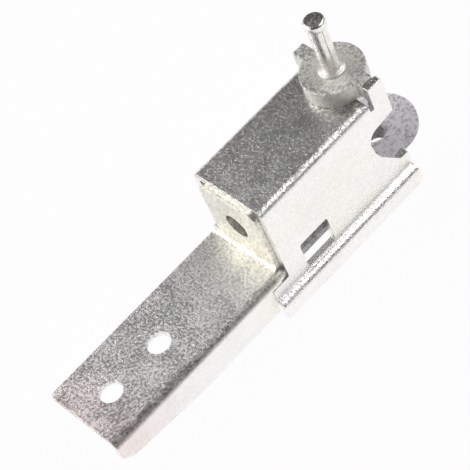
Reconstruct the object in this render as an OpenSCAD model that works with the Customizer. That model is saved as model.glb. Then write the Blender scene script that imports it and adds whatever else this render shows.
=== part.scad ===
// Fridge door hinge: a pressed steel bracket with a fixed door pin.
// X runs along the arm towards the pin end, Y runs across the bracket
// and Z runs up along the pin.
// The origin lies on the arm's top face, midway between the two screw holes.
// Inside the shape modules the pin's axis is at x = 0, and place() moves each
// piece so that the origin comes out as stated.
// All sizes are in millimetres.

/* [Sheet] */
// thickness of every folded or flat sheet
sheet_t = 2; // [1.6:0.1:2.4]
// inner radius of the lengthwise bends
bend_inner_r = 0.5; // [0.4:0.1:1.4]
// free gap left between sheets that stand side by side
sheet_gap = 0.1; // [0.05:0.05:0.3]

/* [Arm] */
// distance from the pin's axis to the arm's free end
arm_reach = 102; // [90:1:115]
// width across the arm
arm_width = 25; // [22:0.5:28]
// height of the down-turned flange, measured from the arm's top face
flange_depth = 10.8; // [8:0.2:12]
// depth that the flange still has at the arm's free end
flange_end_depth = 6.4; // [5:0.2:7]
// length of the short slanting cut at the flange's free end
flange_corner = 3; // [1:0.2:5]
// length over which the flange deepens behind that cut
flange_taper = 23; // [10:1:35]
// how much the flange deepens over that length
flange_taper_drop = 2.2; // [0.4:0.2:3]
// radius of the arm's outer plan corners
arm_corner_r = 1.2; // [0.5:0.1:3]

/* [Screw holes] */
// radius of each of the two screw holes in the arm
screw_hole_r = 3.25; // [2.5:0.05:3.5]
// distance from the arm's free end to the first hole's centre
screw_hole_inset = 10; // [8:0.5:14]
// distance between the two hole centres
screw_hole_pitch = 17; // [14:0.5:20]

/* [Riser] */
// distance from the pin's axis to the riser's outer face
riser_reach = 42; // [38:0.5:46]
// inner radius of the bend between the arm and the riser
riser_bend_r = 1.3; // [0.8:0.1:2]
// radius of the riser's two upper corners
riser_corner_r = 3; // [1:0.5:5]
// radius of the round hole in the riser
riser_hole_r = 3.6; // [2.5:0.1:5]
// height of the riser hole's centre above the arm's top face
riser_hole_z = 10.4; // [8:0.2:13]

/* [Housing] */
// height of the housing's top face above the arm's top face
housing_height = 22.8; // [20:0.2:26]
// width across the outer faces of the two walls
housing_width = 25; // [22:0.2:28]
// distance from the pin's axis to the walls' near edge
wall_near = 40.8; // [38:0.2:44]
// distance from the pin's axis to the walls' far edge
wall_far = 4.6; // [3:0.2:7]
// radius of the rounded tongue that carries the stop washer
tongue_r = 7.8; // [7:0.1:8.4]
// distance from the pin's axis to the end of the lengthwise top bend
bend_end = 1.6; // [1:0.2:3]
// height of the locking tab's top edge above the arm's top face
tab_height = 27.4; // [25:0.2:29]
// distance from the pin's axis to the locking tab's near edge
tab_near = 0.4; // [0:0.1:1]
// radius of the locking tab's far upper corner
tab_corner_r = 1; // [0.5:0.1:2]

/* [Rails] */
// level of the rail's ledge, measured down from the arm's top face
ledge_drop = 7; // [6:0.2:9]
// how far each rail stands out from its wall
rail_out = 2.5; // [2.2:0.1:3.5]
// level of the rails' lower edge, measured down from the arm's top face
rail_drop = 12.8; // [11:0.2:15]
// distance from the pin's axis to the rails' near end
rail_near = 46.6; // [45:0.2:48]
// gap between the arm's edge and the low lip ahead of the walls
lip_gap = 0.4; // [0.2:0.1:1]
// radius of the rails' far lower corner
rail_corner_r = 2.4; // [1:0.2:4]

/* [Window and notch] */
// distance from the pin's axis to the window's near edge
window_near = 34.6; // [32:0.2:37]
// distance from the pin's axis to the window's far edge
window_far = 24.6; // [22:0.2:27]
// height of the window's top edge above the arm's top face
window_top = 2.8; // [1:0.2:5]
// level of the window's lower edge, measured down from the arm's top face
window_drop = 6.6; // [5:0.2:7]
// radius of the window's corners
window_corner_r = 0.8; // [0.4:0.1:1.5]
// radius of the notch's upper inner corner
notch_r = 3.4; // [2:0.2:4.5]
// distance from the pin's axis to the notch's deepest point
notch_depth = 4.9; // [3:0.2:7]
// height of the notch's top edge at its inner corner
notch_top = 14; // [12:0.2:16]
// level of the notch's lower edge, measured down from the arm's top face
notch_drop = 2.4; // [2:0.2:4]

/* [Foot plate] */
// distance from the pin's axis to the foot plate's hidden end
foot_start = 46; // [45:0.2:48]
// how much narrower the foot plate's hidden end is on each side
foot_step = 1; // [0.8:0.1:2]
// distance from the pin's axis to the centre of the lug's round end
lug_centre = 6.8; // [4:0.2:9]
// distance from the pin's axis to the centre of the lug's hole
lug_hole_x = 4.6; // [3:0.2:8]
// radius of the lug's hole, the core size for an M8 thread
lug_hole_r = 3.4; // [2.5:0.1:4]
// outer radius of the drawn neck below the lug's hole
neck_r = 5; // [4.6:0.1:5.5]
// depth of the drawn neck below the foot plate
neck_depth = 6; // [1:0.2:7]

/* [Stop washer] */
// radius of the stop washer's disc
washer_r = 8.6; // [8.4:0.1:10]
// thickness of the stop washer
washer_t = 5.2; // [4:0.2:7]
// width of the washer's two ears
ear_width = 4; // [3:0.2:6]
// distance from the pin's axis to the left ear's middle line
left_ear_x = 0.2; // [0:0.1:2]
// distance from the pin's axis to the right ear's middle line
right_ear_x = 1.5; // [0:0.1:2]
// distance from the pin's axis to the left ear's end
left_ear_reach = 12.4; // [11:0.1:13]
// free gap between the right ear's end and the locking tab
ear_gap = 0.1; // [0.05:0.05:0.3]

/* [Pin] */
// radius of the pin's shaft
pin_r = 2.45; // [2:0.05:3]
// height of the pin above the stop washer
pin_height = 18.2; // [15:0.2:22]
// radius of the pin's head
pin_head_r = 3; // [2.6:0.05:3.4]
// height of the straight part of the pin's head
pin_head_h = 1.4; // [1:0.1:2]
// height of the chamfer on top of the pin's head
pin_chamfer = 0.5; // [0.3:0.1:1]
// height of the cone between the shaft and the head
pin_head_cone = 0.7; // [0.3:0.1:1.5]
// radius of the collar at the pin's foot
collar_r = 3.7; // [3.2:0.1:4.5]
// height of the collar at the pin's foot
collar_h = 0.7; // [0.4:0.1:1.2]
// radius of the riveted button below the top plate
button_r = 4.4; // [3.8:0.1:5.5]
// thickness of the riveted button
button_h = 1.6; // [1:0.1:2.5]
// free gap round the pin in the washer and the top plate
pin_gap = 0.05; // [0.02:0.01:0.1]

/* [Hidden] */
$fn = 64;
plate_color = [0.62, 0.63, 0.64];
small_color = [0.72, 0.73, 0.74];
eps = 0.01;
far = 200;
bend_outer_r = bend_inner_r + sheet_t;
riser_outer_r = riser_bend_r + sheet_t;
half_arm = arm_width / 2;
half_out = housing_width / 2;
half_in = half_out - sheet_t;
half_riser = half_in - sheet_gap;
riser_back = riser_reach - sheet_t;
riser_top = housing_height - sheet_t;
flange_end = rail_near + lip_gap;
lip_top = sheet_t + bend_inner_r + lip_gap;
washer_top = housing_height + washer_t;
right_ear_reach = half_in - ear_gap;
rail_outer = half_out + rail_out;
first_hole_x = screw_hole_inset - arm_reach;
second_hole_x = first_hole_x + screw_hole_pitch;
pin_x = arm_reach - screw_hole_inset - screw_hole_pitch / 2;

// moves a piece from the pin's axis to the part's origin
module place() {
    translate([pin_x, 0, 0])
        children();
}

// a quarter ring of sheet that fills the corner between +X and +Y
module quarter_bend(inner, outer) {
    intersection() {
        difference() {
            circle(r = outer);
            circle(r = inner);
        }
        square(outer + 1);
    }
}

// a rectangle with chosen round corners, from the low corner to the high corner
module soft_rect(x0, y0, x1, y1, r) {
    translate([x0 + r, y0])
        square([x1 - x0 - 2 * r, y1 - y0]);
    translate([x0, y0 + r])
        square([x1 - x0, y1 - y0 - 2 * r]);
    for (x = [x0 + r, x1 - r], y = [y0 + r, y1 - r])
        translate([x, y])
            circle(r = r);
}

// carries a drawing in (Y, Z) along X from x0 to x1
module along_x(x0, x1) {
    translate([x0, 0, 0])
        rotate([90, 0, 90])
            linear_extrude(height = x1 - x0)
                children();
}

// carries a drawing in (X, Z) along Y from y0 to y1
module along_y(y0, y1) {
    translate([0, y1, 0])
        rotate([90, 0, 0])
            linear_extrude(height = y1 - y0)
                children();
}

// carries a drawing in (X, Y) along Z from z0 to z1
module along_z(z0, z1) {
    translate([0, 0, z0])
        linear_extrude(height = z1 - z0)
            children();
}

// section of the arm across its length, with the flange on the right
module arm_section(depth) {
    translate([bend_outer_r - half_arm, -sheet_t])
        square([arm_width - bend_outer_r, sheet_t]);
    translate([bend_outer_r - half_arm, -bend_outer_r])
        mirror([1, 0])
            quarter_bend(bend_inner_r, bend_outer_r);
    translate([-half_arm, -depth])
        square([sheet_t, depth - bend_outer_r]);
}

// section of the arm's far end and the riser, seen from the right
module riser_section() {
    translate([-arm_reach / 2, -sheet_t])
        square([arm_reach / 2 - riser_reach - riser_bend_r, sheet_t]);
    translate([-riser_reach - riser_bend_r, riser_bend_r])
        mirror([0, 1])
            quarter_bend(riser_bend_r, riser_outer_r);
    translate([-riser_reach, riser_bend_r])
        square([sheet_t, riser_top - riser_bend_r]);
}

// plan outline of the arm with its two rounded near corners
module arm_plan() {
    soft_rect(-arm_reach, -half_arm, -wall_near - sheet_gap, half_arm, arm_corner_r);
    translate([-arm_reach / 2, -half_arm])
        square([arm_reach / 2 - wall_near - sheet_gap, arm_width]);
}

// the arm: a plate with a down-turned flange and an up-turned riser
module arm() {
    color(plate_color)
        place()
        difference() {
            union() {
                intersection() {
                    union() {
                        along_x(-arm_reach, -flange_end)
                            arm_section(flange_depth);
                        along_x(-flange_end - eps, -riser_reach - riser_bend_r + eps)
                            arm_section(bend_outer_r + eps);
                        intersection() {
                            along_y(-half_arm, half_arm)
                                riser_section();
                            along_z(-far, riser_bend_r)
                                translate([-far, -far])
                                    square(2 * far);
                        }
                    }
                    union() {
                        along_z(-far, far)
                            arm_plan();
                        along_z(-far, -bend_inner_r)
                            translate([-arm_reach, -half_arm])
                                square([arm_reach - wall_near - sheet_gap, bend_outer_r]);
                    }
                }
                along_y(-half_riser, half_riser)
                    riser_section();
            }
            for (x = [first_hole_x, second_hole_x])
                translate([x, 0, -sheet_t - 1])
                    cylinder(h = sheet_t + 2, r = screw_hole_r);
            translate([-riser_reach - 1, 0, riser_hole_z])
                rotate([0, 90, 0])
                    cylinder(h = sheet_t + 2, r = riser_hole_r);
            riser_corner_cuts();
            flange_corner_cut();
        }
}

// removes the riser's two sharp upper corners
module riser_corner_cuts() {
    for (side = [-1, 1])
        difference() {
            along_x(-riser_reach - 1, -riser_back + 1)
                translate([side * (half_riser - riser_corner_r / 2), riser_top - riser_corner_r / 2])
                    square(riser_corner_r + 2 * eps, center = true);
            along_x(-riser_reach - 2, -riser_back + 2)
                translate([side * (half_riser - riser_corner_r), riser_top - riser_corner_r])
                    circle(r = riser_corner_r);
        }
}

// removes the flange's sharp lower corner at the free end
module flange_corner_cut() {
    along_y(-half_arm - 1, -half_arm + sheet_t + 1)
        polygon([
            [-arm_reach - 1, -flange_depth - 1],
            [-arm_reach + flange_corner + flange_taper, -flange_depth - 1],
            [-arm_reach + flange_corner + flange_taper, -flange_depth],
            [-arm_reach + flange_corner, -flange_depth + flange_taper_drop],
            [-arm_reach, -flange_end_depth],
            [-arm_reach - 1, -flange_end_depth]
        ]);
}

// right half of the housing's section: top plate, wall and rail
module housing_half_section() {
    translate([-half_out + bend_outer_r, housing_height - sheet_t])
        square([half_out - bend_outer_r + eps, sheet_t]);
    translate([-half_out + bend_outer_r, housing_height - bend_outer_r])
        mirror([1, 0])
            quarter_bend(bend_inner_r, bend_outer_r);
    translate([-half_out, -ledge_drop])
        square([sheet_t, housing_height - bend_outer_r + ledge_drop]);
    rail_section();
}

// section of one rail: a ledge turned out from the wall and a skirt turned down
module rail_section() {
    difference() {
        union() {
            translate([-rail_outer + bend_outer_r, -ledge_drop - sheet_t])
                square([rail_outer - bend_outer_r - half_in, sheet_t]);
            translate([-rail_outer + bend_outer_r, -ledge_drop - bend_outer_r])
                mirror([1, 0])
                    quarter_bend(bend_inner_r, bend_outer_r);
            translate([-half_out - bend_inner_r, -ledge_drop - eps])
                square(bend_inner_r + eps);
        }
        translate([-half_out - bend_inner_r, -ledge_drop + bend_inner_r])
            circle(r = bend_inner_r);
    }
    translate([-rail_outer, -rail_drop])
        square([sheet_t, rail_drop - ledge_drop - bend_outer_r]);
}

// side outline kept for each wall: the wall, the low lip and the rail
module wall_side() {
    translate([-wall_near, -ledge_drop])
        square([wall_near + wall_far, housing_height + ledge_drop]);
    translate([-rail_near, -ledge_drop - eps])
        square([rail_near, ledge_drop - lip_top + eps]);
    translate([-rail_near, -rail_drop])
        square([rail_near + wall_far - rail_corner_r, rail_drop - ledge_drop + eps]);
    translate([-rail_near, -rail_drop + rail_corner_r])
        square([rail_near + wall_far, rail_drop - ledge_drop - rail_corner_r + eps]);
    translate([wall_far - rail_corner_r, -rail_drop + rail_corner_r])
        circle(r = rail_corner_r);
}

// side outline of the notch that clears the levelling foot
module notch_side() {
    translate([notch_r - notch_depth, notch_top - notch_r])
        circle(r = notch_r);
    polygon([
        [-notch_depth, notch_top - notch_r],
        [-notch_depth + 0.4, notch_top / 2],
        [-notch_depth + 1.6, notch_top / 3.5],
        [2, -notch_drop],
        [wall_far + 5, -notch_drop],
        [wall_far + 5, notch_top + 1.2],
        [notch_r - notch_depth, notch_top]
    ]);
}

// side outline of the window in each wall
module window_side() {
    soft_rect(-window_near, -window_drop, -window_far, window_top, window_corner_r);
}

// plan outline of the housing's top plate with its round tongue
module top_plan() {
    translate([-wall_near, -half_out - 1])
        square([wall_near - bend_end, housing_width + 2]);
    translate([-wall_near, -tongue_r])
        square([wall_near, 2 * tongue_r]);
    circle(r = tongue_r);
}

// the housing: top plate, two walls and two rails folded from one sheet
module housing() {
    color(plate_color)
        place()
        difference() {
            union() {
                intersection() {
                    along_x(-rail_near, wall_far) {
                        housing_half_section();
                        mirror([1, 0])
                            housing_half_section();
                    }
                    along_y(-far, far)
                        wall_side();
                    union() {
                        along_z(-far, housing_height - bend_outer_r)
                            translate([-far, -far])
                                square(2 * far);
                        along_z(housing_height - bend_outer_r - eps, far)
                            top_plan();
                    }
                }
                along_z(housing_height - sheet_t, housing_height)
                    intersection() {
                        top_plan();
                        translate([-bend_end - 1, -tongue_r])
                            square([far, 2 * tongue_r]);
                    }
                locking_tab();
            }
            along_y(-far, far)
                window_side();
            along_y(-far, far)
                notch_side();
            translate([0, 0, housing_height - sheet_t - 1])
                cylinder(h = sheet_t + 2, r = pin_r + pin_gap);
        }
}

// the tab that rises from the right wall and holds the washer's ear
module locking_tab() {
    along_y(-half_out, -half_in) {
        translate([-tab_near, housing_height - bend_outer_r - eps])
            square([tab_near + wall_far, tab_height - tab_corner_r - housing_height + bend_outer_r + eps]);
        translate([-tab_near, tab_height - 2 * tab_corner_r])
            square([tab_near + wall_far - tab_corner_r, 2 * tab_corner_r]);
        translate([wall_far - tab_corner_r, tab_height - tab_corner_r])
            circle(r = tab_corner_r);
    }
}

// the foot plate: a flat strip below the arm with a round lug at its end
module foot_plate() {
    color(plate_color)
        place()
        difference() {
            union() {
                along_z(-2 * sheet_t, -sheet_t) {
                    translate([-foot_start, foot_step - half_riser])
                        square([foot_start + lug_centre, 2 * (half_riser - foot_step)]);
                    translate([-riser_reach - sheet_gap, -half_riser])
                        square([riser_reach + sheet_gap + lug_centre, 2 * half_riser]);
                    translate([lug_centre, 0])
                        circle(r = half_riser);
                }
                translate([lug_hole_x, 0, -2 * sheet_t - neck_depth])
                    cylinder(h = neck_depth + eps, r = neck_r);
            }
            translate([lug_hole_x, 0, -2 * sheet_t - neck_depth - 1])
                cylinder(h = neck_depth + sheet_t + 2, r = lug_hole_r);
        }
}

// plan outline of the stop washer: a disc, its left ear and its right ear
module washer_plan() {
    circle(r = washer_r);
    translate([left_ear_x - ear_width / 2, 0])
        square([ear_width, left_ear_reach]);
    translate([right_ear_x - ear_width / 2, -right_ear_reach])
        square([ear_width, right_ear_reach]);
}

// the stop washer: a thick disc with two ears that stop the door
module stop_washer() {
    color(small_color)
        place()
        translate([0, 0, housing_height])
            difference() {
                linear_extrude(height = washer_t)
                    washer_plan();
                translate([0, 0, -1])
                    cylinder(h = washer_t + 2, r = pin_r + pin_gap);
            }
}

// the pin: collar, shaft, head and the riveted button below the top plate
module pin() {
    head_z = pin_height - pin_chamfer - pin_head_h;
    stem = washer_t + sheet_t;
    color(small_color)
        place()
        translate([0, 0, washer_top])
            rotate_extrude()
                polygon([
                    [0, -stem - button_h],
                    [button_r - 0.6, -stem - button_h],
                    [button_r, -stem - button_h + 0.6],
                    [button_r, -stem],
                    [pin_r, -stem],
                    [pin_r, 0],
                    [collar_r, 0],
                    [collar_r, collar_h / 2],
                    [pin_r, collar_h],
                    [pin_r, head_z - pin_head_cone],
                    [pin_head_r, head_z],
                    [pin_head_r, head_z + pin_head_h],
                    [pin_head_r - pin_chamfer, pin_height],
                    [0, pin_height]
                ]);
}

arm();
housing();
foot_plate();
stop_washer();
pin();
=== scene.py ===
"""A fridge door hinge of zinc-plated steel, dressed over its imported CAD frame.

The arm, the folded housing, the foot plate, the stop washer and the door pin
keep the shapes of their solids. Each is copied, its doubles are merged, its
sheared edges are rounded as a press leaves them, and it gets the speckled
finish of passivated zinc. The foot's hole gets its thread.
"""

from __future__ import annotations

import logging
import math
from dataclasses import dataclass, field
from enum import Enum
from typing import ClassVar

import bpy
from mathutils import Matrix, Vector


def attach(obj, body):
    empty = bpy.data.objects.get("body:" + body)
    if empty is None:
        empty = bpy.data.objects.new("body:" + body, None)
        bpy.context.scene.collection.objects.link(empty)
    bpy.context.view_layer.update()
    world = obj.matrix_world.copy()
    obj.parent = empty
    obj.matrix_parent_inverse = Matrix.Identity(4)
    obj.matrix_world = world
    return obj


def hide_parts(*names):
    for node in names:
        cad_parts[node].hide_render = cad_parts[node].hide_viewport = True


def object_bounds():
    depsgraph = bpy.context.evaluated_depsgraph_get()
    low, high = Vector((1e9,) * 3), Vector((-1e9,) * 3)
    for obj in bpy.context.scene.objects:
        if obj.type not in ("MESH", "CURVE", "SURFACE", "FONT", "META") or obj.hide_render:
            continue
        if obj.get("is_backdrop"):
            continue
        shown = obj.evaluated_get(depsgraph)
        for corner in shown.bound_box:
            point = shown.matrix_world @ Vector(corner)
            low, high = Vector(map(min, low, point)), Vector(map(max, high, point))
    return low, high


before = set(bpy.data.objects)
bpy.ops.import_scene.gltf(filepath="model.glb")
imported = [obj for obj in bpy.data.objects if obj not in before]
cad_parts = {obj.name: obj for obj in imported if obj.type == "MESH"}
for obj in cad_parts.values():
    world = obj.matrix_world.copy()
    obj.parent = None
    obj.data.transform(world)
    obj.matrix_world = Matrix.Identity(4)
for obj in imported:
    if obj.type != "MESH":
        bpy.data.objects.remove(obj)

LOG = logging.getLogger("fridge_door_hinge")

# One millimetre in metres. Sizes and places are in millimetres where their note names no unit.
MM = 0.001
# The body that every piece rides on.
ROOT = "root"
# How far the floor lies below the part's lowest point.
FLOOR_GAP = 0.05
# The value that the noises and the tool's rings swing round.
MEAN = 0.5

Colour = tuple[float, float, float]
Point = tuple[float, float, float]
Place = tuple[float, float]
Box = tuple[Point, Point]


# What is read from the CAD frame


def corners_of(mesh: bpy.types.Mesh) -> Box:
    """The lowest and highest corner of a mesh's box, in metres."""
    axes = list(zip(*(vertex.co for vertex in mesh.vertices)))
    return tuple(min(axis) for axis in axes), tuple(max(axis) for axis in axes)


def box_of(node: str) -> Box:
    """A CAD node's lowest and highest corner, to a thousandth of a millimetre.

    Args:
        node: The CAD node's name.

    Returns:
        The two corners in millimetres.
    """
    low, high = corners_of(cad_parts[node].data)
    return tuple(round(at / MM, 3) for at in low), tuple(round(at / MM, 3) for at in high)


def pin_axis() -> Place:
    """The door pin's axis along X and Y."""
    low, high = box_of("pin")
    return (low[0] + high[0]) / 2, (low[1] + high[1]) / 2


# Shader maths


class Link:
    """A node's output socket that takes part in Python expressions."""

    def __init__(self, shader: "Shader", socket: bpy.types.NodeSocket | None) -> None:
        """Keeps the socket and the shader that it belongs to. An output node has no socket."""
        self.shader = shader
        self.socket = socket

    def _math(self, operation: str, *values: "Value", clamp: bool = False) -> "Link":
        """Adds one Math node.

        Args:
            operation: The Math node's operation.
            values: Its inputs, in order.
            clamp: Whether the result is held between 0 and 1.

        Returns:
            The node's output.
        """
        settings = {"operation": operation, "use_clamp": clamp}
        return self.shader.node("ShaderNodeMath", settings, dict(enumerate(values)))

    def __add__(self, other: "Value") -> "Link":
        """Adds a value."""
        return self._math("ADD", self, other)

    __radd__ = __add__

    def __sub__(self, other: "Value") -> "Link":
        """Takes a value away."""
        return self._math("SUBTRACT", self, other)

    def __rsub__(self, other: "Value") -> "Link":
        """Is taken away from a value."""
        return self._math("SUBTRACT", other, self)

    def __mul__(self, other: "Value") -> "Link":
        """Multiplies by a value."""
        return self._math("MULTIPLY", self, other)

    __rmul__ = __mul__

    def __pow__(self, other: "Value") -> "Link":
        """Raises to a power."""
        return self._math("POWER", self, other)

    def held(self) -> "Link":
        """The value held between 0 and 1."""
        return self._math("ADD", self, 0.0, clamp=True)

    def sine(self) -> "Link":
        """The value's sine."""
        return self._math("SINE", self)

    def most(self, other: "Value") -> "Link":
        """The larger of two values."""
        return self._math("MAXIMUM", self, other)


Value = Link | float
Vec = Link | Point


class Blend(Enum):
    """How a Mix node lays its second colour on its first."""

    OVER = "MIX"
    TIMES = "MULTIPLY"


@dataclass(frozen=True)
class Fade:
    """A share that rises smoothly between two values.

    Attributes:
        start: The value at which it leaves 0.
        end: The value from which it is whole.
        share: The share when it is whole.
    """

    start: float
    end: float
    share: float = 1.0


@dataclass(frozen=True)
class Stain:
    """A tint that fades in over a colour.

    Attributes:
        fade: Where it fades in and how strong it gets.
        tint: The factor on each colour where it is whole.
    """

    fade: Fade
    tint: Colour


class Shader:
    """Builds one material's or one world's node tree.

    Attributes:
        MIX_FACTOR: The number of a colour Mix node's factor among its inputs.
        MIX_A: The number of its first colour.
        MIX_B: The number of its second colour.
        MIX_RESULT: The number of its colour among its outputs.
    """

    MIX_FACTOR: ClassVar[int] = 0
    MIX_A: ClassVar[int] = 6
    MIX_B: ClassVar[int] = 7
    MIX_RESULT: ClassVar[int] = 2

    def __init__(self, owner: bpy.types.Material | bpy.types.World) -> None:
        """Empties the owner's node tree and keeps it.

        Args:
            owner: The material or world whose tree is built.
        """
        owner.use_nodes = True
        self.tree = owner.node_tree
        self.tree.nodes.clear()

    def node(
        self,
        kind: str,
        settings: dict[str, object] | None = None,
        inputs: dict[str | int, object] | None = None,
        output: str | int = 0,
    ) -> Link:
        """Adds a node, sets it up and feeds it.

        Args:
            kind: The node's type name.
            settings: Its properties, set before its sockets.
            inputs: Values or links by the socket's name or number.
            output: The output that is returned.

        Returns:
            The chosen output.
        """
        made = self.tree.nodes.new(kind)
        for name, value in (settings or {}).items():
            setattr(made, name, value)
        for name, value in (inputs or {}).items():
            socket = made.inputs[name]
            if isinstance(value, Link):
                self.tree.links.new(value.socket, socket)
            elif socket.type == "RGBA":
                socket.default_value = (*value, 1.0)
            else:
                socket.default_value = value
        return Link(self, made.outputs[output] if len(made.outputs) else None)

    def place(self) -> Link:
        """The place on the piece in millimetres of the row frame."""
        metres = self.node("ShaderNodeTexCoord", output="Object")
        return self.node(
            "ShaderNodeVectorMath",
            {"operation": "SCALE"},
            {"Vector": metres, "Scale": 1.0 / MM},
        )

    def axis(self, vector: Vec, name: str) -> Link:
        """One axis of a vector, by its letter."""
        return self.node("ShaderNodeSeparateXYZ", inputs={"Vector": vector}, output=name)

    def radius(self, vector: Vec, axis: Place) -> Link:
        """Measures how far a place lies from an upright axis.

        Args:
            vector: The place.
            axis: The axis's own place along X and Y.

        Returns:
            The distance.
        """
        out_x = self.axis(vector, "X") - axis[0]
        out_y = self.axis(vector, "Y") - axis[1]
        return (out_x * out_x + out_y * out_y) ** 0.5

    def stretched(self, vector: Vec, factors: Point) -> Link:
        """A vector with each axis multiplied by its own factor."""
        return self.node(
            "ShaderNodeVectorMath", {"operation": "MULTIPLY"}, {0: vector, 1: factors}
        )

    def noise(
        self,
        vector: Vec,
        per_mm: float,
        detail: float = 2.0,
        rough: float = 0.5,
        warp: float = 0.0,
    ) -> Link:
        """Smooth noise between about 0.2 and 0.8.

        Args:
            vector: Where it is read, in millimetres.
            per_mm: How many lumps a millimetre holds.
            detail: How many finer layers are added.
            rough: How strong the finer layers are.
            warp: How far the pattern is distorted.

        Returns:
            The noise.
        """
        return self.node(
            "ShaderNodeTexNoise",
            {"noise_dimensions": "3D"},
            {
                "Vector": vector,
                "Scale": per_mm,
                "Detail": detail,
                "Roughness": rough,
                "Distortion": warp,
            },
        )

    def step(self, value: Value, fade: Fade) -> Link:
        """The share that a fade gives a value."""
        rise = self.node(
            "ShaderNodeMapRange",
            {"interpolation_type": "SMOOTHSTEP"},
            {"Value": value, "From Min": fade.start, "From Max": fade.end},
        )
        return rise * fade.share

    def blend(
        self,
        share: Value,
        first: Link | Colour,
        second: Link | Colour,
        how: Blend = Blend.OVER,
    ) -> Link:
        """Blends two colours.

        Args:
            share: How much of the second one shows, from 0 to 1.
            first: The colour below.
            second: The colour above.
            how: How the second is laid on the first.

        Returns:
            The blended colour.
        """
        return self.node(
            "ShaderNodeMix",
            {"data_type": "RGBA", "blend_type": how.value},
            {self.MIX_FACTOR: share, self.MIX_A: first, self.MIX_B: second},
            output=self.MIX_RESULT,
        )

    def stained(self, colour: Link, value: Link, stain: Stain) -> Link:
        """Lays a stain over a colour.

        Args:
            colour: The clean colour.
            value: The value that the stain fades in along.
            stain: The stain.

        Returns:
            The stained colour.
        """
        return self.tinted(colour, self.step(value, stain.fade), stain.tint)

    def tinted(self, colour: Link, share: Link, tint: Colour) -> Link:
        """A colour multiplied by a tint where the share is whole."""
        return self.blend(share, colour, self.blend(1.0, colour, tint, Blend.TIMES))

    def bump(self, height: Link, depth: float) -> Link:
        """A normal tilted by a height of 0 to 1, whose full depth is in millimetres."""
        return self.node("ShaderNodeBump", inputs={"Distance": depth * MM, "Height": height})

    def finish(self, surface: Link, output: str = "ShaderNodeOutputMaterial") -> None:
        """Ends the tree with its output."""
        self.node(output, inputs={"Surface": surface})


# Finishes


class Tone(Enum):
    """The stains that zinc's passivation leaves on a piece, and the painted shade along the arm's
    bend.
    """

    PLAIN = "plain"
    ARM = "arm"
    HOUSING = "housing"
    BLUE = "blue"


# The arm's marks: a painted shade along the flange's bend, standing in for the dark reflection
# there; stains rose towards the near end and straw by the riser.
# A wander is how far the clouds move such a border.
FOLD_SHADE_ACROSS = Fade(-9.8, -10.9)
FOLD_SHADE_DOWN = Fade(-2.4, -1.2)
FOLD_SHADE_ALONG = Fade(41.0, 38.0, 0.75)
FOLD_SHADE_TINT: Colour = (0.36, 0.35, 0.34)
FOLD_SHADE_WANDER = 0.8
ROSE = Stain(Fade(16.0, -8.0, 0.75), (1.0, 0.90, 0.90))
ROSE_WANDER = 16.0
STRAW = Stain(Fade(34.0, 50.0, 0.80), (1.0, 0.98, 0.88))
STRAW_WANDER = 14.0
# The stains of the other tones, which fade in along a noise.
WARM_PATCHES = Stain(Fade(0.48, 0.66, 0.50), (1.0, 0.96, 0.90))
COLD_CLOUDS = Stain(Fade(0.35, 0.60, 0.90), (0.95, 0.935, 1.0))
WARM_CLOUDS = Stain(Fade(0.45, 0.65, 0.40), (1.0, 0.96, 0.86))


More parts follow.
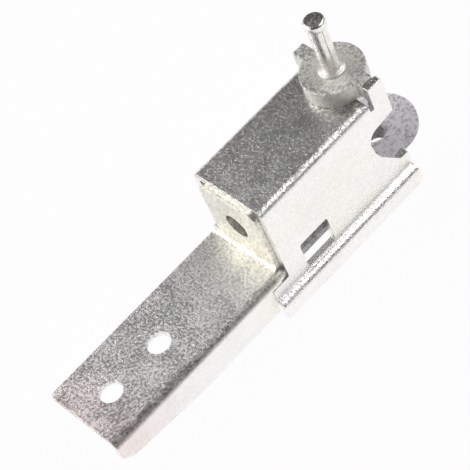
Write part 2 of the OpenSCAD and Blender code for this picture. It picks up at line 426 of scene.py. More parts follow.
@dataclass(frozen=True)
class ZincFinish:
    """Passivated zinc on cold-rolled sheet: speckled grain, clouds and scratches.

    Attributes:
        name: The material's name.
        tone: Which stains it carries, with the arm's painted shade along its bend.
        pale: The colour of the clean grain.
        deep: The colour of the etched grain.
        worn_and_shaded: The colour of the etched grain on the faces above the top line: wear
            together with painted shade that darkens the upper faces as their dark reflection
            does.
        top: Where the upper faces' darker colour begins in height. The default puts the whole
            piece above it.
        metal: How metallic the surface is, from 0 to 1.
        etched: The share of the etched grain, from 0 to 1.
        grain: How many grains a millimetre holds.
        relief: The grain's depth.
        gloss: The roughness of the clean grain.
        matt: The roughness of the etched grain.
        fine_ratio: How many times finer the second grain is.
        fine_share: Its share in the speckle.
        cloud_share: How strongly the clouds gather the speckle.
        cloud_dulls: The roughness that the clouds add and take.
        scratch_shines: The roughness that a scratch takes away.
        edge: Half the width of a speckle's soft edge, in parts of the noise.
        least_level: The noise's level at which the grain is clean where nothing is etched.
        etched_lifts: How far that level rises where all of it is etched.
        grain_height: The grain's share in the relief.
        fine_height: The second grain's share in the relief.
        cloud_height: The clouds' share in the relief.
        scratch_depth: A scratch's share in the relief.
        scratch_stretch: The scratches' noise per millimetre along each axis.
        scratch_line: Where that noise turns into a scratch.
        scratch_area: Where a second noise lets scratches show.
        near_end_dulls: Where the arm's near end gets rougher, and by how much.
        wall_side: Where the housing's top ends at its right wall's outside.
        riser_keeps: Where the arm's plate keeps less of its wear and painted shade, towards the
            riser.
        collar_keeps: Where the washer's top takes its wear and painted shade, by the distance
            from the pin.
        collar_wear_and_shade: The wear and painted shade that are left beside the pin.
    """

    name: str
    tone: Tone = Tone.PLAIN
    pale: Colour = (1.0, 0.99, 0.975)
    deep: Colour = (0.94, 0.93, 0.915)
    worn_and_shaded: Colour = (0.36, 0.355, 0.35)
    top: Fade = Fade(-200.0, -199.0)
    metal: float = 1.0
    etched: float = 0.45
    grain: float = 1.3
    relief: float = 0.08
    gloss: float = 0.14
    matt: float = 0.30
    fine_ratio: ClassVar[float] = 2.3
    fine_share: ClassVar[float] = 0.32
    cloud_share: ClassVar[float] = 0.28
    cloud_dulls: ClassVar[float] = 0.10
    scratch_shines: ClassVar[float] = 0.04
    edge: ClassVar[float] = 0.10
    least_level: ClassVar[float] = 0.44
    etched_lifts: ClassVar[float] = 0.12
    grain_height: ClassVar[float] = 0.62
    fine_height: ClassVar[float] = 0.30
    cloud_height: ClassVar[float] = 0.25
    scratch_depth: ClassVar[float] = 0.08
    scratch_stretch: ClassVar[Point] = (0.09, 3.4, 3.4)
    scratch_line: ClassVar[Fade] = Fade(0.66, 0.72)
    scratch_area: ClassVar[Fade] = Fade(0.50, 0.62)
    near_end_dulls: ClassVar[Fade] = Fade(22.0, -18.0, 0.14)
    wall_side: ClassVar[Fade] = Fade(-12.45, -11.5)
    riser_keeps: ClassVar[Fade] = Fade(20.0, 37.0, 0.50)
    collar_keeps: ClassVar[Fade] = Fade(4.0, 8.0, 0.75)
    collar_wear_and_shade: ClassVar[float] = 0.25

    def material(self) -> bpy.types.Material:
        """Makes the material.

        Returns:
            A new material with the finish's nodes.
        """
        made = bpy.data.materials.new(self.name)
        shader = Shader(made)
        place = shader.place()
        fine = shader.noise(place, self.grain * self.fine_ratio, detail=2.0, rough=0.6)
        grain = shader.noise(place, self.grain, detail=3.0, rough=0.62, warp=0.4)
        cloud = shader.noise(place, per_mm=0.14, detail=3.0, rough=0.55, warp=0.6)
        speckle = grain * (1.0 - self.fine_share) + fine * self.fine_share
        level = speckle + (cloud - MEAN) * self.cloud_share
        clean = shader.step(level, self._clean_from())
        # The upper faces' etched grain takes a darker colour: wear together with painted shade
        # for their dark reflection.
        etch_and_shade = shader.blend(self._wear_and_shade_share(shader, place), self.deep, self.worn_and_shaded)
        colour = shader.blend(clean, etch_and_shade, self.pale)
        scratch = self._scratches(shader, place)
        rough = clean * (self.gloss - self.matt) + self.matt
        rough = rough + (cloud - MEAN) * self.cloud_dulls - scratch * self.scratch_shines
        if self.tone is Tone.ARM:
            rough = rough + shader.step(shader.axis(place, "X"), self.near_end_dulls)
        height = grain * self.grain_height + fine * self.fine_height
        height = height + cloud * self.cloud_height - scratch * self.scratch_depth
        surface = shader.node(
            "ShaderNodeBsdfPrincipled",
            inputs={
                "Base Color": self._stains_and_bend_shade(shader, place, cloud, colour),
                "Metallic": self.metal,
                "Roughness": rough.held(),
                "Normal": shader.bump(height, self.relief),
            },
        )
        shader.finish(surface)
        return made

    def _clean_from(self) -> Fade:
        """The noise's level from which the grain is clean, higher for more etched grain."""
        middle = self.least_level + self.etched_lifts * self.etched
        return Fade(middle - self.edge, middle + self.edge)

    def _wear_and_shade_share(self, shader: Shader, place: Link) -> Link:
        """How much of the upper faces' wear and painted shade a place takes.

        Args:
            shader: The material's shader.
            place: The place in millimetres.

        Returns:
            1 where the upper faces take their wear and painted shade, and 0 below the top line
            and on the walls' outsides.
        """
        above = shader.step(shader.axis(place, "Z"), self.top)
        if self.tone is Tone.HOUSING:
            return above * shader.step(shader.axis(place, "Y"), self.wall_side)
        if self.tone is Tone.ARM:
            return above * (1.0 - shader.step(shader.axis(place, "X"), self.riser_keeps))
        if self.tone is Tone.PLAIN:
            radius = shader.radius(place, pin_axis())
            return above * (shader.step(radius, self.collar_keeps) + self.collar_wear_and_shade)
        return above

    def _stains_and_bend_shade(self, shader: Shader, place: Link, cloud: Link, colour: Link) -> Link:
        """Lays the tone's stains over the grain, and on the arm the painted shade along its bend.

        Args:
            shader: The material's shader.
            place: The place in millimetres.
            cloud: The clouds' noise.
            colour: The grain's colour.

        Returns:
            The stained colour.
        """
        if self.tone is Tone.HOUSING:
            return shader.stained(colour, shader.noise(place, per_mm=0.045), WARM_PATCHES)
        if self.tone is Tone.BLUE:
            return shader.stained(colour, cloud, COLD_CLOUDS)
        if self.tone is Tone.PLAIN:
            return shader.stained(colour, cloud, WARM_CLOUDS)
        along = shader.axis(place, "X")
        # Painted shade: a dark band along the flange's bend, standing in for the dark reflection
        # there.
        fold_shade = shader.step(shader.axis(place, "Y") + cloud * FOLD_SHADE_WANDER, FOLD_SHADE_ACROSS)
        fold_shade = fold_shade * shader.step(shader.axis(place, "Z"), FOLD_SHADE_DOWN)
        fold_shade = fold_shade * shader.step(along, FOLD_SHADE_ALONG)
        colour = shader.tinted(colour, fold_shade, FOLD_SHADE_TINT)
        colour = shader.stained(colour, along + cloud * ROSE_WANDER, ROSE)
        return shader.stained(colour, along + cloud * STRAW_WANDER, STRAW)

    def _scratches(self, shader: Shader, place: Link) -> Link:
        """Sparse thin scratches that run along the sheet.

        Args:
            shader: The material's shader.
            place: The place in millimetres.

        Returns:
            1 in a scratch and 0 beside it.
        """
        lengthwise = shader.stretched(place, self.scratch_stretch)
        line = shader.step(shader.noise(lengthwise, per_mm=1.0), self.scratch_line)
        area = shader.step(shader.noise(place, per_mm=0.10, detail=1.0), self.scratch_area)
        return line * area


@dataclass(frozen=True)
class TurnedFinish:
    """Turned steel under thin zinc, with the tool's fine rings.

    Attributes:
        name: The material's name.
        colour: The metal's colour.
        shade: The colour in the tool marks.
        rough: The roughness.
        marks_dull: The roughness that the tool marks add.
        foot_dulls: Where the shaft's foot gets rougher in height, and by how much.
        ring_share: The tool rings' share in the relief. The grain has the rest.
        relief: The relief's depth.
        rings_out: The rings' turn for each millimetre outwards, in radians.
        rings_up: The rings' turn for each millimetre of height, in radians.
        grain_stretch: The grain's noise per millimetre along each axis.
        cloud_share: How strongly the clouds gather the tool marks.
        mark_edge: Where the noise turns from a tool mark to clean metal.
    """

    name: str
    colour: Colour = (0.94, 0.92, 0.88)
    shade: Colour = (0.87, 0.85, 0.82)
    rough: float = 0.20
    marks_dull: float = 0.16
    foot_dulls: Fade = Fade(31.0, 28.4, 0.22)
    ring_share: float = 0.12
    relief: float = 0.010
    rings_out: ClassVar[float] = 26.0
    rings_up: ClassVar[float] = 21.0
    grain_stretch: ClassVar[Point] = (1.6, 1.6, 0.72)
    cloud_share: ClassVar[float] = 0.30
    mark_edge: ClassVar[Fade] = Fade(0.36, 0.60)

    def material(self) -> bpy.types.Material:
        """Makes the material.

        Returns:
            A new material with the finish's nodes.
        """
        made = bpy.data.materials.new(self.name)
        shader = Shader(made)
        place = shader.place()
        radius = shader.radius(place, pin_axis())
        height = shader.axis(place, "Z")
        rings = (radius * self.rings_out + height * self.rings_up).sine() * MEAN + MEAN
        upright = shader.stretched(place, self.grain_stretch)
        grain = shader.noise(upright, per_mm=1.0, detail=3.0, rough=0.6, warp=0.3)
        cloud = shader.noise(place, per_mm=0.35)
        clean = shader.step(grain + (cloud - MEAN) * self.cloud_share, self.mark_edge)
        rough = self.rough + self.marks_dull * (1.0 - clean)
        rough = rough + shader.step(height, self.foot_dulls)
        relief = rings * self.ring_share + grain * (1.0 - self.ring_share)
        surface = shader.node(
            "ShaderNodeBsdfPrincipled",
            inputs={
                "Base Color": shader.blend(clean, self.shade, self.colour),
                "Metallic": 1.0,
                "Roughness": rough.held(),
                "Normal": shader.bump(relief, self.relief),
            },
        )
        shader.finish(surface)
        return made


@dataclass(frozen=True)
class FloorFinish:
    """The pale studio floor, white to the eye and in the metal's gloss.

    Attributes:
        name: The material's name.
        colour: The paint's colour.
        lift: The share of plain white that is seen, which leaves the rest to shadow.
    """

    name: str = "pale_floor"
    colour: Colour = (0.90, 0.90, 0.90)
    lift: float = 0.96

    def material(self) -> bpy.types.Material:
        """Makes the material.

        Returns:
            A new material with the finish's nodes.
        """
        made = bpy.data.materials.new(self.name)
        shader = Shader(made)
        seen = shader.node("ShaderNodeLightPath", output="Is Camera Ray")
        gloss = shader.node("ShaderNodeLightPath", output="Is Glossy Ray")
        through = shader.node("ShaderNodeLightPath", output="Is Transmission Ray")
        share = seen.most(gloss).most(through) * self.lift
        paint = shader.node(
            "ShaderNodeBsdfDiffuse", inputs={"Color": self.colour, "Roughness": 0.6}
        )
        white = shader.node("ShaderNodeEmission", inputs={"Color": (1.0, 1.0, 1.0)})
        mixed = shader.node("ShaderNodeMixShader", inputs={0: share, 1: paint, 2: white})
        shader.finish(mixed)
        return made


# Modelling


class Cut(Enum):
    """What a Boolean does with its tool."""

    AWAY = "DIFFERENCE"
    JOIN = "UNION"


class Bench:
    """The few hand operations that every piece is made with.

    Attributes:
        copy_merge: How close the corners of a CAD copy are to be merged.
        cut_merge: How close the corners of a carved piece are to be merged.
        sliver: The longest edge that counts as nothing.
        flat_turn: The largest turn between two faces that are joined, in degrees.
        flat_weight: How far a large face's normal outweighs a small one's, from 1 to 100.
    """

    copy_merge: ClassVar[float] = 0.055
    cut_merge: ClassVar[float] = 0.03
    sliver: ClassVar[float] = 0.01
    flat_turn: ClassVar[float] = 0.4
    flat_weight: ClassVar[int] = 80

    @staticmethod
    def clear() -> None:
        """Leaves object mode with nothing selected."""
        if bpy.context.object and bpy.context.object.mode != "OBJECT":
            bpy.ops.object.mode_set(mode="OBJECT")
        bpy.ops.object.select_all(action="DESELECT")

    @classmethod
    def pick(cls, piece: bpy.types.Object) -> None:
        """Selects one piece alone and makes it active.

        Args:
            piece: The piece.
        """
        cls.clear()
        piece.select_set(True)
        bpy.context.view_layer.objects.active = piece

    @classmethod
    def copy_of(cls, node: str, name: str) -> bpy.types.Object:
        """Copies a CAD node's mesh into a new piece, closed up.

        Args:
            node: The CAD node's name.
            name: The new piece's name.

        Returns:
            The new piece, its doubles merged and its flat faces joined.
        """
        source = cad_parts[node]
        mesh = source.data.copy()
        mesh.name = name
        mesh.materials.clear()
        piece = bpy.data.objects.new(name, mesh)
        bpy.context.scene.collection.objects.link(piece)
        cls.pick(piece)
        bpy.ops.object.mode_set(mode="EDIT")
        bpy.ops.mesh.customdata_custom_splitnormals_clear()
        bpy.ops.object.mode_set(mode="OBJECT")
        cls.tidy(piece, cls.copy_merge)
        return piece

    @classmethod
    def tidy(cls, piece: bpy.types.Object, reach: float) -> None:
        """Merges a piece's doubles and joins its flat faces.

        Args:
            piece: The piece.
            reach: How close corners are to be merged, in millimetres.
        """
        cls.pick(piece)
        bpy.ops.object.mode_set(mode="EDIT")
        bpy.ops.mesh.select_all(action="SELECT")
        bpy.ops.mesh.remove_doubles(threshold=reach * MM)
        bpy.ops.mesh.dissolve_degenerate(threshold=cls.sliver * MM)
        bpy.ops.mesh.dissolve_limited(angle_limit=math.radians(cls.flat_turn))
        bpy.ops.mesh.select_all(action="SELECT")
        bpy.ops.mesh.normals_make_consistent(inside=False)
        bpy.ops.object.mode_set(mode="OBJECT")

    @classmethod
    def round_edges(
        cls,
        piece: bpy.types.Object,
        radius: float,
        sharper_than: float = 38.0,
        segments: int = 3,
        spare: tuple[Box, ...] = (),
    ) -> None:
        """Rounds a piece's sharp edges.

        Args:
            piece: The piece.
            radius: The rounding in millimetres.
            sharper_than: The smallest turn of an edge that is rounded, in degrees.
            segments: The faces across the rounding.
            spare: Boxes whose edges stay sharp.
        """
        cls.pick(piece)
        bpy.ops.object.mode_set(mode="EDIT")
        bpy.ops.mesh.select_mode(type="EDGE")
        bpy.ops.mesh.select_all(action="DESELECT")
        bpy.ops.mesh.edges_select_sharp(sharpness=math.radians(sharper_than))
        bpy.ops.object.mode_set(mode="OBJECT")
        mesh = piece.data
        weights = mesh.attributes.new("bevel_weight_edge", "FLOAT", "EDGE")
        for edge in mesh.edges:
            ends = [mesh.vertices[number].co / MM for number in edge.vertices]
            middle = (ends[0] + ends[1]) / 2
            spared = any(
                all(least < at < most for least, at, most in zip(low, middle, high))
                for low, high in spare
            )
            weights.data[edge.index].value = float(edge.select and not spared)
        low, high = corners_of(mesh)
        bevel = piece.modifiers.new("rounding", "BEVEL")
        bevel.width = radius * MM
        bevel.segments = segments
        bevel.limit_method = "WEIGHT"
        bevel.use_clamp_overlap = False
        bevel.loop_slide = False
        bpy.ops.object.modifier_apply(modifier=bevel.name)
        for vertex in piece.data.vertices:
            held = zip(low, vertex.co, high)
            vertex.co = [min(max(at, least), most) for least, at, most in held]

    @classmethod
    def smooth(cls, piece: bpy.types.Object, angle: float = 30.0) -> None:
        """Shades a piece smooth over its bends and flat over its sheets.

        Args:
            piece: The piece.
            angle: The sharpest turn that is shaded smooth, in degrees.
        """
        cls.pick(piece)
        bpy.ops.object.shade_smooth_by_angle(angle=math.radians(angle))
        weighted = piece.modifiers.new("flat_sheets", "WEIGHTED_NORMAL")
        weighted.keep_sharp = True
        weighted.weight = cls.flat_weight
        bpy.ops.object.modifier_apply(modifier=weighted.name)

    @classmethod
    def box(cls, name: str, low: Point, high: Point) -> bpy.types.Object:
        """Makes a plain box that another piece is cut with.

        Args:
            name: Its name.
            low: Its lowest corner in millimetres.
            high: Its highest corner in millimetres.

        Returns:
            The box.
        """
        cls.clear()
        middle = [(start + end) / 2 * MM for start, end in zip(low, high)]
        bpy.ops.mesh.primitive_cube_add(size=1.0, location=middle)
        made = bpy.context.object
        made.name = made.data.name = name
        made.scale = [(end - start) * MM for start, end in zip(low, high)]
        bpy.ops.object.transform_apply(location=True, rotation=True, scale=True)
        return made

    @classmethod
    def carve(
        cls, piece: bpy.types.Object, tool: bpy.types.Object, how: Cut = Cut.AWAY
    ) -> None:
        """Cuts a piece with a tool, or joins the two, and removes the tool.

        Args:
            piece: The piece.
            tool: The solid that it is cut with.
            how: Whether the tool is cut away or joined on.
        """
        cls.pick(piece)
        cut = piece.modifiers.new("carving", "BOOLEAN")
        cut.operation = how.value
        cut.solver = "EXACT"
        cut.object = tool
        bpy.ops.object.modifier_apply(modifier=cut.name)
        bpy.data.meshes.remove(tool.data)

    @classmethod
    def bar(cls, radius: float, length: float, y: float, z: float) -> bpy.types.Object:
        """Makes a round bar along X that another piece is cut with.

        Args:
            radius: Its radius.
            length: Its length, half on each side of the frame's origin.
            y: Its axis's place along Y.
            z: Its axis's height.

        Returns:
            The bar.
        """
        cls.clear()
        bpy.ops.mesh.primitive_cylinder_add(
            vertices=96,
            radius=radius * MM,
            depth=length * MM,
            location=(0.0, y * MM, z * MM),
            rotation=(0.0, math.pi / 2, 0.0),
        )
        bpy.ops.object.transform_apply(location=True, rotation=True, scale=True)
        return bpy.context.object

    @staticmethod
    def dress(piece: bpy.types.Object, material: bpy.types.Material) -> None:
        """Gives a piece its one material."""
        piece.data.materials.clear()
        piece.data.materials.append(material)


# Pieces


@dataclass
class PressedPiece:
    """A piece that keeps its solid's shape and gains rounded edges.

    Attributes:
        node: The CAD node that it stands for.
        name: The piece's name.
        slot: The record's material slot. It is not used.
        rounding: The sheared edges' rounding.
        finish: The piece's finish.
        spare: Boxes whose edges stay sharp.
    """

    node: str
    name: str
    slot: str
    rounding: float
    finish: ZincFinish | TurnedFinish
    spare: ClassVar[tuple[Box, ...]] = ()

    def build(self) -> list[bpy.types.Object]:
        """Models the piece, dresses it and mounts it on the root body.

        Returns:
            The piece and what belongs to it.
        """
        piece = Bench.copy_of(self.node, self.name)
        self.shape(piece)
        Bench.round_edges(piece, self.rounding, spare=self.spare)
        Bench.smooth(piece)
        Bench.dress(piece, self.finish.material())
        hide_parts(self.node)
        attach(piece, ROOT)
        return [piece, *self.fittings()]

    def shape(self, piece: bpy.types.Object) -> None:
        """Reshapes the copy before its edges are rounded."""

    def fittings(self) -> list[bpy.types.Object]:
        """The further pieces that belong to this one."""
        return []


@dataclass
class ArmSheet(PressedPiece):
    """The arm's one pressed sheet: plate, flange and riser.

    Attributes:
        sheet_t: The sheet's thickness.
        bend_r: The flange bend's outer radius.
        riser_bend_r: The riser bend's inner radius.
        riser_side: Where the riser's right side lies along Y.
        past_riser: How far the bend's cut runs on into the riser's foot.
        foot_top: The height up to which the riser's foot is cut.
        clear: How far the cutting tools stand out of the sheet.
        overlap: How far the two cutting boxes reach into each other.
        skin: How far the cutting box stands above the plate.
        bar_length: The length of the bar that the bend is turned on.
        spare: The riser's foot and the bend's lower line, which stay as they are.
    """

    node: str = "arm"
    name: str = "arm_sheet"
    slot: str = "plate"
    rounding: float = 0.16
    # The plate's darker top is wear together with painted shade.
    finish: ZincFinish = field(
        default_factory=lambda: ZincFinish(
            "zinc_arm", Tone.ARM, top=Fade(-1.9, -0.4), relief=0.28, gloss=0.28, matt=0.42
        )
    )
    sheet_t: float = 2.0
    bend_r: float = 2.5
    riser_bend_r: float = 1.3
    riser_side: float = -10.4
    past_riser: float = 2.6
    foot_top: float = 3.0
    clear: float = 0.5
    overlap: float = 0.2
    skin: float = 0.02
    bar_length: float = 160.0
    spare: ClassVar[tuple[Box, ...]] = (
        ((39.0, -12.9, -3.0), (43.0, -10.3, 1.6)),
        ((-18.7, -12.7, -2.7), (43.0, -12.3, -2.3)),
    )

    def shape(self, piece: bpy.types.Object) -> None:
        """Turns the flange's bend anew, on to the riser's foot.

        Args:
            piece: The arm's copy.
        """
        (near_end, flange, _), (riser_face, _, _) = box_of(self.node)
        foot = riser_face - self.sheet_t - self.riser_bend_r
        y, z = flange + self.bend_r, -self.bend_r
        outside = flange - self.clear
        fill = Bench.box("bend_fill", (near_end, flange, z), (foot, y, 0.0))
        Bench.carve(piece, fill, Cut.JOIN)
        Bench.tidy(piece, Bench.cut_merge)
        tool = Bench.box(
            "bend_tool", (near_end - 2 * self.clear, outside, z), (foot, y, self.skin)
        )
        corner = Bench.box(
            "corner_tool",
            (foot - self.overlap, outside, z),
            (foot + self.past_riser, self.riser_side, self.foot_top),
        )
        Bench.carve(tool, corner, Cut.JOIN)
        Bench.carve(tool, Bench.bar(self.bend_r, self.bar_length, y, z))
        Bench.carve(piece, tool)
        Bench.tidy(piece, Bench.cut_merge)


@dataclass
class HousingSheet(PressedPiece):
    """The folded housing: top plate, walls, rails and locking tab."""

    node: str = "housing"
    name: str = "housing_sheet"
    slot: str = "plate"
    rounding: float = 0.16
    # The top plate's darker colour is wear together with painted shade.
    finish: ZincFinish = field(
        default_factory=lambda: ZincFinish(
            "zinc_housing",
            Tone.HOUSING,
            worn_and_shaded=(0.42, 0.415, 0.405),
            top=Fade(21.0, 22.4),
            etched=0.55,
            relief=0.17,
            gloss=0.24,
            matt=0.36,
        )
    )


@dataclass
class FootThread:
    """The metric thread that is cut in the foot's hole.

    Attributes:
        centre: The hole's axis along X and Y.
        bottom: The thread's lowest point.
        pitch: The rise of one turn.
        turns: How many whole turns it has.
        hole_r: The plain hole's radius in the solid.
        crest_r: The radius at the crest.
        root_r: The radius at the root.
        crest_flat: The crest's flat.
        root_gap: The gap between two turns at the root.
        sink: How far the ridge stands into the hole's wall.
        steps: The faces of one turn.
        rounding: The crest's rounding.
        name: The piece's name.
    """

    centre: Place = (88.1, 0.0)
    bottom: float = -9.93
    pitch: float = 1.25
    turns: int = 5
    hole_r: float = 3.4
    crest_r: float = 3.1
    root_r: float = 3.95
    crest_flat: float = 0.18
    root_gap: float = 0.02
    sink: float = 0.08
    steps: int = 64
    rounding: float = 0.04
    name: str = "foot_hole_thread"

    def build(self, material: bpy.types.Material) -> bpy.types.Object:
        """Winds the ridge round the hole's wall.

        Args:
            material: The foot plate's finish.

        Returns:
            The ridge, riding on the root body.
        """
        ridge = self._profile()
        self._wind(ridge)
        self._close(ridge)
        x, y = self.centre
        ridge.data.transform(Matrix.Translation((x * MM, y * MM, 0.0)))
        Bench.round_edges(ridge, self.rounding, sharper_than=30.0, segments=2)
        Bench.smooth(ridge)
        Bench.dress(ridge, material)
        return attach(ridge, ROOT)

    def _profile(self) -> bpy.types.Object:
        """Draws the ridge's section beside the hole's axis.

        Returns:
            A ring of four edges, wide at the root and narrow at the crest.
        """
        Bench.clear()
        bpy.ops.mesh.primitive_plane_add(size=1.0)
        ridge = bpy.context.object
        ridge.name = ridge.data.name = self.name
        half, flat = (self.pitch - self.root_gap) / 2, self.crest_flat / 2
        for corner in ridge.data.vertices:
            at_root = corner.co.y < 0
            radius = self.root_r + self.sink if at_root else self.crest_r
            reach = math.copysign(half if at_root else flat, corner.co.x)
            corner.co = (radius * MM, 0.0, (self.bottom + half + reach) * MM)
        bpy.ops.object.mode_set(mode="EDIT")
        bpy.ops.mesh.select_all(action="SELECT")
        bpy.ops.mesh.delete(type="ONLY_FACE")
        bpy.ops.object.mode_set(mode="OBJECT")
        return ridge

    def _wind(self, ridge: bpy.types.Object) -> None:
        """Winds the section up round the origin.

        Args:
            ridge: The section, which becomes the ridge.
        """
        wind = ridge.modifiers.new("winding", "SCREW")
        wind.axis = "Z"
        wind.screw_offset = self.pitch * MM
        wind.iterations = self.turns
        wind.steps = wind.render_steps = self.steps
        wind.use_merge_vertices = False
        wind.use_smooth_shade = False
        bpy.ops.object.modifier_apply(modifier=wind.name)

    @staticmethod
    def _close(ridge: bpy.types.Object) -> None:
        """Caps the ridge's two open ends.

        Args:
            ridge: The ridge.
        """
        Bench.pick(ridge)
        bpy.ops.object.mode_set(mode="EDIT")
        bpy.ops.mesh.select_mode(type="EDGE")
        bpy.ops.mesh.select_all(action="DESELECT")
        bpy.ops.mesh.select_non_manifold(extend=False)
        bpy.ops.mesh.edge_face_add()
        bpy.ops.mesh.select_all(action="SELECT")
        bpy.ops.mesh.normals_make_consistent(inside=False)
        bpy.ops.object.mode_set(mode="OBJECT")


@dataclass
class FootPlate(PressedPiece):
    """The foot plate with its round lug and the threaded hole.

    Attributes:
        thread: The thread in the foot's hole.
        wall_reach: How far from the hole's radius a corner still counts as its wall.
    """

    node: str = "foot_plate"
    name: str = "foot_plate_sheet"
    slot: str = "plate"
    rounding: float = 0.18
    thread: FootThread = field(default_factory=FootThread)
    wall_reach: ClassVar[float] = 0.05
    finish: ZincFinish = field(
        default_factory=lambda: ZincFinish(
            "zinc_foot_plate",
            Tone.BLUE,
            worn_and_shaded=(0.48, 0.47, 0.50),
            metal=0.05,
            etched=0.16,
            grain=0.9,
            relief=0.20,
            gloss=0.42,
            matt=0.58,
        )
    )

    def shape(self, piece: bpy.types.Object) -> None:
        """Opens the hole's wall from the plain hole to the thread's root.

        Args:
            piece: The foot plate's copy.
        """
        x, y = self.thread.centre
        grow = self.thread.root_r / self.thread.hole_r
        for vertex in piece.data.vertices:
            out = Vector((vertex.co.x / MM - x, vertex.co.y / MM - y))
            if abs(out.length - self.thread.hole_r) < self.wall_reach:
                vertex.co.x = (x + out.x * grow) * MM
                vertex.co.y = (y + out.y * grow) * MM

    def fittings(self) -> list[bpy.types.Object]:
        """The thread in the foot's hole."""
        return [self.thread.build(bpy.data.materials[self.finish.name])]


@dataclass
class StopWasher(PressedPiece):
    """The thick washer whose two ears stop the door."""

    node: str = "stop_washer"
    name: str = "stop_washer_disc"
    slot: str = "fittings"
    rounding: float = 0.30
    # The washer's darker top is wear together with painted shade.
    finish: ZincFinish = field(
        default_factory=lambda: ZincFinish(
            "zinc_washer",
            pale=(1.0, 0.99, 0.95),
            deep=(0.78, 0.76, 0.68),
            worn_and_shaded=(0.40, 0.39, 0.37),
            top=Fade(27.3, 27.9),
            metal=0.35,
            etched=0.40,
            grain=1.1,
            relief=0.20,
            gloss=0.30,
            matt=0.44,
        )
    )


@dataclass
class DoorPin(PressedPiece):
    """The turned pin with its collar, shaft and chamfered head."""

    node: str = "pin"
    name: str = "door_pin_turned"
    slot: str = "fittings"
    rounding: float = 0.24
    finish: TurnedFinish = field(default_factory=lambda: TurnedFinish("zinc_pin"))


# Studio


@dataclass(frozen=True)
class Softbox:
    """One rectangular lamp that faces the part.

    Attributes:
        name: Its name.
        place: Its middle in metres.
        size: Its width and height in metres.
        power: Its power in watts.
    """

    name: str
    place: Point
    size: Place
    power: float

    def hang(self, aim: Point) -> bpy.types.Object:
        """Hangs the lamp.

        Args:
            aim: The point that it faces, in metres.

        Returns:
            The lamp.
        """
        light = bpy.data.lights.new(self.name, "AREA")
        light.shape = "RECTANGLE"
        light.size, light.size_y = self.size
        light.energy = self.power
        lamp = bpy.data.objects.new(light.name, light)
        bpy.context.scene.collection.objects.link(lamp)
        lamp.location = self.place
        facing = Vector(aim) - Vector(self.place)
        lamp.rotation_mode = "QUATERNION"
        lamp.rotation_quaternion = facing.to_track_quat("-Z", "Y")
        return lamp


@dataclass(frozen=True)
class PhotoCamera:
    """The camera as it was fitted to the photograph.

    Attributes:
        name: Its name.
        sensor: The sensor's width.
        lens: The focal length.
        nearest: The nearest distance that it sees, in metres.
        place: Its place in metres.
        right: The picture's direction to the right, of length 1.
        upward: The picture's direction up.
        back: The direction from the part to the camera.
    """

    name: str = "photo_camera"
    sensor: float = 36.0
    lens: float = 159.016
    nearest: float = 0.01
    place: Point = (-0.09618492, -0.29974010, 0.40356930)
    right: Point = (0.67563767, -0.68061217, -0.28333869)
    upward: Point = (0.68798901, 0.44397506, 0.57407079)
    back: Point = (-0.26492425, -0.58279776, 0.76821996)

    def set_up(self) -> bpy.types.Object:
        """Makes it the scene's camera.

        Returns:
            The camera.
        """
        data = bpy.data.cameras.new(self.name)
        data.sensor_width = self.sensor
        data.lens = self.lens
        data.clip_start = self.nearest
        camera = bpy.data.objects.new(data.name, data)
        bpy.context.scene.collection.objects.link(camera)
        axes = Matrix((self.right, self.upward, self.back)).transposed()
        camera.matrix_world = Matrix.Translation(self.place) @ axes.to_4x4()
        bpy.context.scene.camera = camera
        return camera


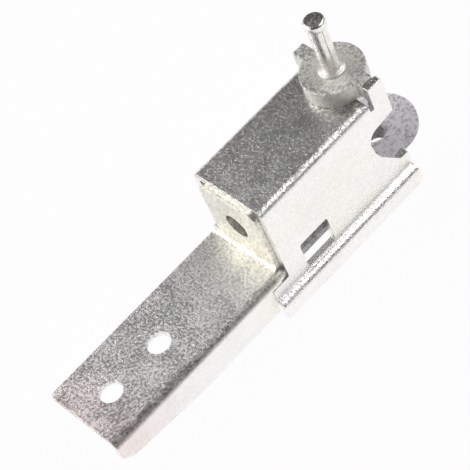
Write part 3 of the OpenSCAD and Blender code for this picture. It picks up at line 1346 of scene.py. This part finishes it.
@dataclass
class Studio:
    """The pale floor, the lamps, the world and the camera.

    Attributes:
        floor_z: The floor's height.
        flat_r: The radius of the flat floor in metres.
        cove_r: The radius of the cove's rim in metres.
        cove_h: The height of the cove's rim in metres.
        cove_steps: The rings of faces on the cove.
        sky: The world's grey.
        aim: The point that the lamps face, in metres.
        lamps: The softboxes.
    """

    floor_z: float
    flat_r: float = 1.8
    cove_r: float = 3.0
    cove_h: float = 0.7
    cove_steps: int = 8
    sky: float = 0.06
    aim: ClassVar[Point] = (0.045, 0.0, 0.015)
    lamps: ClassVar[tuple[Softbox, ...]] = (
        Softbox("overhead_softbox", (0.50, -0.22, 0.68), (0.80, 0.45), 2.8),
        Softbox("left_softbox", (-0.50, 0.46, 0.42), (0.90, 0.60), 3.6),
        Softbox("back_softbox", (-0.125, 0.60, 0.80), (0.75, 0.50), 1.8),
    )

    def build(self) -> None:
        """Builds the whole studio."""
        self.floor()
        for lamp in self.lamps:
            lamp.hang(self.aim)
        self.world()
        PhotoCamera().set_up()

    def floor(self) -> bpy.types.Object:
        """Models the floor and the low cove round it.

        Returns:
            The floor, marked as stage.
        """
        Bench.clear()
        middle = (0.0, 0.0, self.floor_z * MM)
        bpy.ops.mesh.primitive_circle_add(
            vertices=96, radius=self.flat_r, fill_type="NGON", location=middle
        )
        floor = bpy.context.object
        floor.name = floor.data.name = "studio_floor"
        bpy.ops.object.mode_set(mode="EDIT")
        bpy.ops.mesh.select_mode(type="EDGE")
        bpy.ops.mesh.select_all(action="DESELECT")
        bpy.ops.mesh.select_non_manifold(extend=False)
        self._raise_cove()
        bpy.ops.mesh.select_all(action="SELECT")
        bpy.ops.mesh.normals_make_consistent(inside=False)
        bpy.ops.object.mode_set(mode="OBJECT")
        Bench.pick(floor)
        bpy.ops.object.transform_apply(location=True, rotation=True, scale=True)
        bpy.ops.object.shade_smooth()
        Bench.dress(floor, FloorFinish().material())
        floor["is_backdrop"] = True
        return floor

    def _raise_cove(self) -> None:
        """Draws the floor's selected rim out and up along a quarter of an ellipse."""
        radius, height = self.flat_r, 0.0
        for step in range(1, self.cove_steps + 1):
            turn = step / self.cove_steps * math.pi / 2
            wider = self.flat_r + (self.cove_r - self.flat_r) * math.sin(turn)
            higher = self.cove_h * (1 - math.cos(turn))
            bpy.ops.mesh.extrude_edges_move(
                TRANSFORM_OT_translate={"value": (0.0, 0.0, higher - height)}
            )
            bpy.ops.transform.resize(
                value=(wider / radius, wider / radius, 1.0),
                center_override=(0.0, 0.0, 0.0),
            )
            radius, height = wider, higher

    def world(self) -> None:
        """Fills the room with an even grey."""
        world = bpy.data.worlds.new("studio_room")
        bpy.context.scene.world = world
        shader = Shader(world)
        grey = (self.sky, self.sky, self.sky)
        room = shader.node("ShaderNodeBackground", inputs={"Color": grey})
        shader.finish(room, "ShaderNodeOutputWorld")


def main() -> None:
    """Builds every piece in order and reports it."""
    logging.basicConfig(level=logging.INFO, format="%(name)s: %(message)s")
    cad_box = [list(corner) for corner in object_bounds()]
    lowest = round(cad_box[0][2] / MM, 3)
    Studio(floor_z=lowest - FLOOR_GAP).build()
    parts: list[PressedPiece] = [ArmSheet(), HousingSheet(), FootPlate(), StopWasher(), DoorPin()]
    for part in parts:
        for piece in part.build():
            LOG.info("%s: %d faces", piece.name, len(piece.data.polygons))
    bpy.context.scene.view_settings.view_transform = "Standard"


if __name__ == "__main__":
    main()
